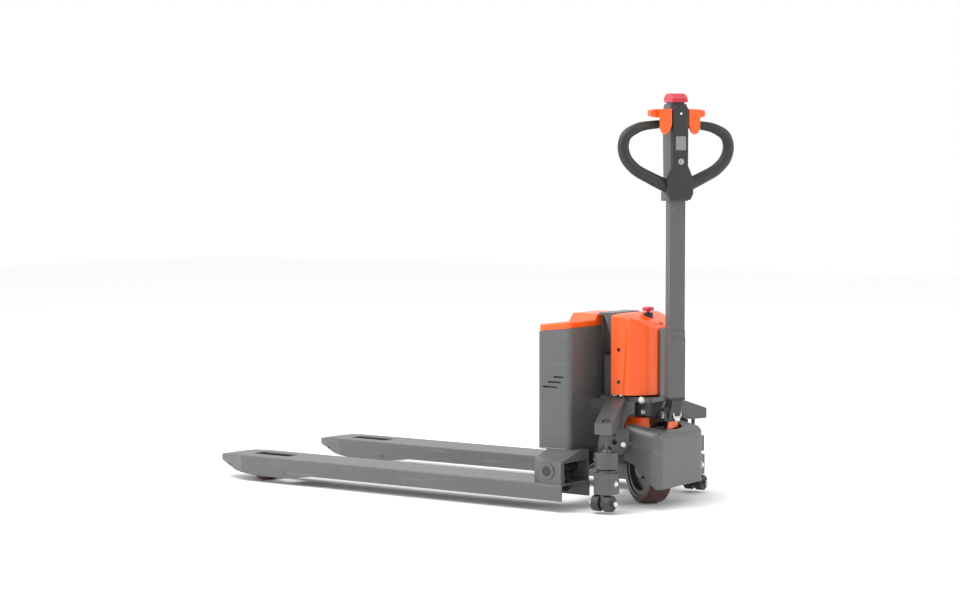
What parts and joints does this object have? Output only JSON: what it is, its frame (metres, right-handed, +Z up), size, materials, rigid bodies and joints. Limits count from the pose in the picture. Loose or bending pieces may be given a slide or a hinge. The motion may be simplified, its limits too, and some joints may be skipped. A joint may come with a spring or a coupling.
{
  "type": "electric pallet truck",
  "caption": "Walk-behind powered pallet truck with two lifting forks, a battery box, a steered drive wheel under a fender, stabiliser casters and a tiller with looped grips.",
  "frame": {"origin": "on the floor under the steering axis", "axes": "+X towards the operator end (forks point to -X), +Y to the right side seen by an operator facing the forks, +Z up"},
  "size_m": [1.7306, 0.685, 1.241],
  "materials": {
    "aluminium": "machined aluminium",
    "black_metal": "black paint",
    "black_plastic": "moulded black plastic, fine texture",
    "cast_dark": "dark cast iron",
    "cover_orange": "moulded orange plastic, low gloss",
    "dark_roller": "dark nylon",
    "frame_grey": "satin grey powder coat",
    "polyurethane": "dark red cast polyurethane",
    "red_plastic": "red moulded plastic",
    "screen": "grey display glass",
    "steel": "ground steel",
    "zinc": "zinc plated"
  },
  "bodies": {
    "chassis": {"chassis_head": "frame_grey", "caster_arm_left": "frame_grey", "caster_arm_right": "frame_grey", "arm_bolts": "zinc", "fender": "frame_grey", "cylinder_barrel": "black_metal", "pump_unit": "black_metal", "oil_tank": "black_plastic", "motor_controller": "aluminium", "power_cover": "cover_orange", "cover_screws": "black_metal", "cover_frame": "frame_grey", "stop_switch_base": "black_plastic", "caster_housing_left": "frame_grey", "caster_housing_right": "frame_grey"},
    "fork_frame": {"fork_left": "frame_grey", "fork_right": "frame_grey", "battery_box": "frame_grey", "pivot_cheeks": "frame_grey", "heel_tube": "frame_grey", "crown_plate": "frame_grey", "cylinder_rod": "steel", "bracket_pins": "zinc"},
    "battery": {"battery_pack": "black_plastic", "battery_cap": "cover_orange"},
    "rocker": {"rocker_shaft": "black_metal", "rocker_levers": "black_metal"},
    "push_rod_l": {"push_rod_left": "steel"},
    "push_rod_r": {"push_rod_right": "steel"},
    "bracket_l": {"roller_bracket_left": "aluminium"},
    "bracket_r": {"roller_bracket_right": "aluminium"},
    "load_roller_l": {"load_roller_left": "polyurethane"},
    "load_roller_r": {"load_roller_right": "polyurethane"},
    "entry_rollers": {"entry_rollers": "dark_roller"},
    "caster_l": {"caster_fork_left": "frame_grey"},
    "caster_r": {"caster_fork_right": "frame_grey"},
    "caster_wheels_l": {"caster_wheels_left": "dark_roller"},
    "caster_wheels_r": {"caster_wheels_right": "dark_roller"},
    "drive_unit": {"turntable": "cast_dark", "gearbox": "cast_dark", "drive_motor": "black_metal", "motor_cover": "cover_orange", "tiller_bracket": "black_metal", "hinge_pin": "zinc"},
    "drive_wheel": {"drive_hub": "cast_dark", "drive_tyre": "polyurethane"},
    "tiller": {"tiller_foot": "black_metal", "tiller_sheath": "frame_grey", "tiller_post": "frame_grey", "head_shell": "frame_grey", "head_face": "black_plastic", "display_window": "screen", "grip_loops": "black_plastic"},
    "thumb_wings": {"thumb_wings": "cover_orange"},
    "belly_button": {"belly_button": "red_plastic"},
    "key": {"key_barrel": "steel"},
    "horn_button": {"horn_button": "black_plastic"},
    "lift_button": {"lift_button": "black_plastic"},
    "lower_button": {"lower_button": "black_plastic"},
    "stop_knob": {"stop_knob": "red_plastic"}
  },
  "joints": [
    {"name": "lift", "type": "slide", "parent": "chassis", "child": "fork_frame", "axis": [0, 0, 1], "range_m": [0, 0.115]},
    {"name": "rocker_turn", "type": "hinge", "parent": "fork_frame", "child": "rocker", "pos_m": [-0.15, 0, 0.122], "axis": [0, 1, 0], "range_deg": [0, 57.74]},
    {"name": "push_rod_slide_l", "type": "slide", "parent": "fork_frame", "child": "push_rod_l", "axis": [-1, 0, 0], "range_m": [0, 0.02705]},
    {"name": "bracket_turn_l", "type": "hinge", "parent": "fork_frame", "child": "bracket_l", "pos_m": [-1.157, -0.2625, 0.037], "axis": [0, -1, 0], "range_deg": [0, 57.74]},
    {"name": "load_roller_spin_l", "type": "hinge", "parent": "bracket_l", "child": "load_roller_l", "pos_m": [-1.293, -0.2625, 0.037], "axis": [0, 1, 0], "continuous": true},
    {"name": "push_rod_slide_r", "type": "slide", "parent": "fork_frame", "child": "push_rod_r", "axis": [-1, 0, 0], "range_m": [0, 0.02705]},
    {"name": "bracket_turn_r", "type": "hinge", "parent": "fork_frame", "child": "bracket_r", "pos_m": [-1.157, 0.2625, 0.037], "axis": [0, -1, 0], "range_deg": [0, 57.74]},
    {"name": "load_roller_spin_r", "type": "hinge", "parent": "bracket_r", "child": "load_roller_r", "pos_m": [-1.293, 0.2625, 0.037], "axis": [0, 1, 0], "continuous": true},
    {"name": "entry_roller_spin", "type": "hinge", "parent": "fork_frame", "child": "entry_rollers", "pos_m": [-1.406, 0, 0.047], "axis": [0, 1, 0], "continuous": true},
    {"name": "battery_lift_out", "type": "slide", "parent": "fork_frame", "child": "battery", "axis": [0, 0, 1], "range_m": [0, 0.36]},
    {"name": "caster_swivel_l", "type": "hinge", "parent": "chassis", "child": "caster_l", "pos_m": [0.009, -0.262, 0.15], "axis": [0, 0, 1], "continuous": true},
    {"name": "caster_wheel_spin_l", "type": "hinge", "parent": "caster_l", "child": "caster_wheels_l", "pos_m": [0.009, -0.278, 0.032], "axis": [1, 0, 0], "continuous": true},
    {"name": "caster_swivel_r", "type": "hinge", "parent": "chassis", "child": "caster_r", "pos_m": [0.009, 0.262, 0.15], "axis": [0, 0, 1], "continuous": true},
    {"name": "caster_wheel_spin_r", "type": "hinge", "parent": "caster_r", "child": "caster_wheels_r", "pos_m": [0.009, 0.278, 0.032], "axis": [1, 0, 0], "continuous": true},
    {"name": "steer", "type": "hinge", "parent": "chassis", "child": "drive_unit", "pos_m": [0, 0, 0.25], "axis": [0, 0, 1], "range_deg": [-41, 109]},
    {"name": "drive_wheel_spin", "type": "hinge", "parent": "drive_unit", "child": "drive_wheel", "pos_m": [0, 0, 0.105], "axis": [0.5592, 0.829, 0], "continuous": true},
    {"name": "tiller_tilt", "type": "hinge", "parent": "drive_unit", "child": "tiller", "pos_m": [0.12436, -0.08388, 0.285], "axis": [0.5592, 0.829, 0], "range_deg": [0, 75], "stiffness_Nm_per_rad": 30, "springref_deg": -34.38},
    {"name": "thumb_wings_turn", "type": "hinge", "parent": "tiller", "child": "thumb_wings", "pos_m": [0.14757, -0.09954, 1.182], "axis": [0.5592, 0.829, 0], "range_deg": [-15, 15], "stiffness_Nm_per_rad": 0.4},
    {"name": "belly_press", "type": "slide", "parent": "tiller", "child": "belly_button", "axis": [0, 0, -1], "range_m": [0, 0.004], "stiffness_N_per_m": 900, "springref_m": -0.002},
    {"name": "key_turn", "type": "hinge", "parent": "tiller", "child": "key", "pos_m": [0.17493, -0.11799, 1.04], "axis": [0.829, -0.5592, 0], "range_deg": [0, 90]},
    {"name": "horn_press", "type": "slide", "parent": "tiller", "child": "horn_button", "axis": [0.829, -0.5592, 0], "range_m": [0, 0.003], "stiffness_N_per_m": 400, "springref_m": -0.001},
    {"name": "lift_press", "type": "slide", "parent": "tiller", "child": "lift_button", "axis": [0.829, -0.5592, 0], "range_m": [0, 0.003], "stiffness_N_per_m": 400, "springref_m": -0.001},
    {"name": "lower_press", "type": "slide", "parent": "tiller", "child": "lower_button", "axis": [0.829, -0.5592, 0], "range_m": [0, 0.003], "stiffness_N_per_m": 400, "springref_m": -0.001},
    {"name": "stop_press", "type": "slide", "parent": "chassis", "child": "stop_knob", "axis": [0, 0, -1], "range_m": [0, 0.005]}
  ],
  "couplings": [
    {"joint": "rocker_turn", "follows": "lift", "rad_per_m": 8.7623},
    {"joint": "push_rod_slide_l", "follows": "lift", "ratio": 0.2351},
    {"joint": "bracket_turn_l", "follows": "lift", "rad_per_m": 8.7623},
    {"joint": "push_rod_slide_r", "follows": "lift", "ratio": 0.2351},
    {"joint": "bracket_turn_r", "follows": "lift", "rad_per_m": 8.7623}
  ]
}
